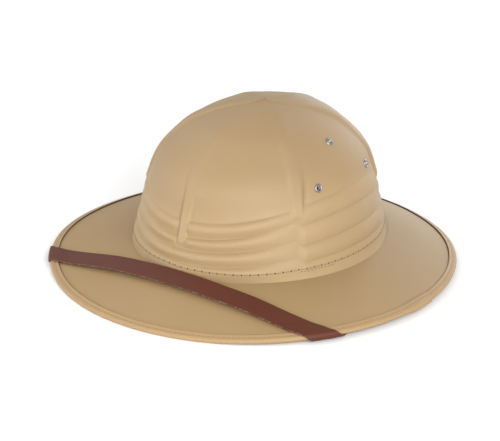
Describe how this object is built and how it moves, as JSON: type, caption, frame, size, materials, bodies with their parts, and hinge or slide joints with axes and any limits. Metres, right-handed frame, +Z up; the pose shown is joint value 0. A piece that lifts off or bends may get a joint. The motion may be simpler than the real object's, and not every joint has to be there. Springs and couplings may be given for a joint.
{
  "type": "pith helmet",
  "caption": "Sun helmet with a hollow panelled cloth crown, moulded folds round its foot, a wide drooping bound brim, vent eyelets and a flat chin strap laid over the front.",
  "frame": {"origin": "on the ground under the middle of the brim", "axes": "+Z up, the front of the hat towards -Y, the wearer's left towards +X"},
  "size_m": [0.3121, 0.3085, 0.1248],
  "materials": {
    "cloth": "matt beige brushed cloth, smooth and slightly satin",
    "tape": "matt woven bias tape, a little lighter than the cloth",
    "strap": "smooth brown leather look with a slight sheen and paler raw edges",
    "eyelet_metal": "bright rolled metal"
  },
  "bodies": {
    "root": {"crown": "cloth", "brim": "cloth", "brim_binding": "tape", "chin_strap": "strap", "eyelet_left_front": "eyelet_metal", "eyelet_left_top": "eyelet_metal", "eyelet_left_back": "eyelet_metal", "eyelet_right_front": "eyelet_metal", "eyelet_right_top": "eyelet_metal", "eyelet_right_back": "eyelet_metal"}
  },
  "joints": []
}
